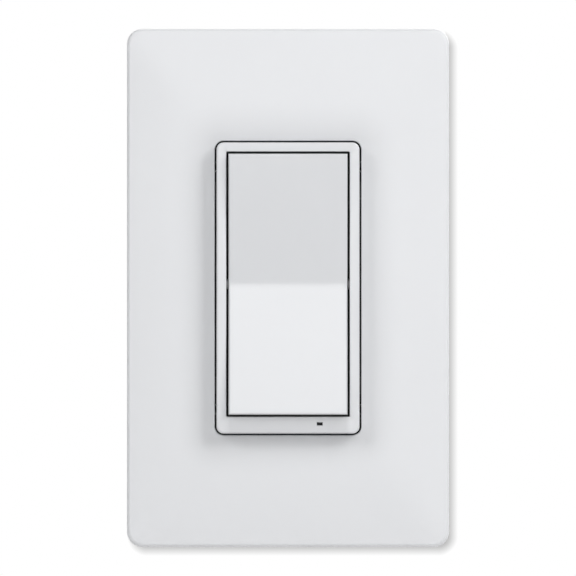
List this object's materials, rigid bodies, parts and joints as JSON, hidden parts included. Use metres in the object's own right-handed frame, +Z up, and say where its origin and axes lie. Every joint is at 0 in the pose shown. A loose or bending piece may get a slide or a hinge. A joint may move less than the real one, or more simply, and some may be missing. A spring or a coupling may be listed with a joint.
{
  "type": "smart dimmer switch",
  "caption": "Wall dimmer switch: a broad rocker paddle in a raised frame with a small status light slot, a smooth screwless cover plate and a deep rear housing.",
  "frame": {"origin": "on the wall plane, behind the middle of the raised frame and midway between the mounting screws", "axes": "+X to the right as seen from the room, +Y into the wall, +Z up"},
  "size_m": [0.074, 0.0379, 0.119],
  "materials": {
    "plate_white": "fine matt moulding",
    "frame_white": "satin",
    "paddle_white": "satin",
    "subplate_white": "matt",
    "housing_grey": "matt moulding",
    "strap_metal": "rolled sheet",
    "screw_steel": "zinc plated",
    "white_screw": "painted",
    "green_screw": "green dyed plating",
    "brass": "plain",
    "copper": "enamelled wire",
    "spring_steel": "drawn wire",
    "fibre": "pressed fibre",
    "insulating_film": "film",
    "board_green": "lacquered board",
    "dark_plastic": "matt",
    "ferrite": "pressed ferrite",
    "lens_dark": "clear lens, unlit",
    "lamp_clear": "clear",
    "silicone_grey": "soft pad",
    "film_yellow": "moulded box",
    "sleeve_black": "shrunk sleeve",
    "varistor_blue": "dipped coat"
  },
  "bodies": {
    "switch_body": {"cover_plate": "plate_white", "mounting_subplate": "subplate_white", "plate_screw_top": "white_screw", "plate_screw_bottom": "white_screw", "strap": "strap_metal", "ground_screw": "green_screw", "mounting_screw_top": "screw_steel", "mounting_screw_bottom": "screw_steel", "screw_retainer_top": "fibre", "screw_retainer_bottom": "fibre", "front_frame": "frame_white", "return_spring_top": "spring_steel", "return_spring_bottom": "spring_steel", "insulator_sheet": "insulating_film", "control_board": "board_green", "tact_switch_top": "dark_plastic", "tact_switch_bottom": "dark_plastic", "indicator_led": "lamp_clear", "light_pipe": "lens_dark", "radio_module": "strap_metal", "rear_housing": "housing_grey", "housing_screw_1": "screw_steel", "housing_screw_2": "screw_steel", "housing_screw_3": "screw_steel", "housing_screw_4": "screw_steel", "terminal_plate_line": "brass", "terminal_plate_load": "brass", "terminal_plate_neutral": "brass", "terminal_plate_traveler": "brass", "clamp_plate_line": "brass", "clamp_plate_load": "brass", "clamp_plate_neutral": "brass", "clamp_plate_traveler": "brass", "terminal_screw_line": "brass", "terminal_screw_load": "brass", "terminal_screw_neutral": "screw_steel", "terminal_screw_traveler": "screw_steel", "power_board": "board_green", "board_header": "dark_plastic", "triac": "dark_plastic", "thermal_pad": "silicone_grey", "triac_rivet": "screw_steel", "choke_coil": "copper", "film_capacitor": "film_yellow", "supply_transformer": "ferrite", "bulk_capacitor": "sleeve_black", "fuse": "dark_plastic", "varistor": "varistor_blue"},
    "rocker": {"paddle": "paddle_white"},
    "plunger_top": {"button_top": "dark_plastic"},
    "plunger_bottom": {"button_bottom": "dark_plastic"}
  },
  "joints": [
    {"name": "paddle_rock", "type": "hinge", "parent": "switch_body", "child": "rocker", "pos_m": [0, -0.0057, 0.00088], "axis": [1, 0, 0], "range_deg": [-2, 2], "stiffness_Nm_per_rad": 1.4, "deforming": ["return_spring_top", "return_spring_bottom"]},
    {"name": "button_top_press", "type": "slide", "parent": "switch_body", "child": "plunger_top", "axis": [0, 1, 0], "range_m": [-0.0004, 0.0004]},
    {"name": "button_bottom_press", "type": "slide", "parent": "switch_body", "child": "plunger_bottom", "axis": [0, 1, 0], "range_m": [-0.0004, 0.0004]}
  ],
  "couplings": [
    {"joint": "button_top_press", "follows": "paddle_rock", "m_per_rad": -0.011},
    {"joint": "button_bottom_press", "follows": "paddle_rock", "m_per_rad": 0.011}
  ]
}
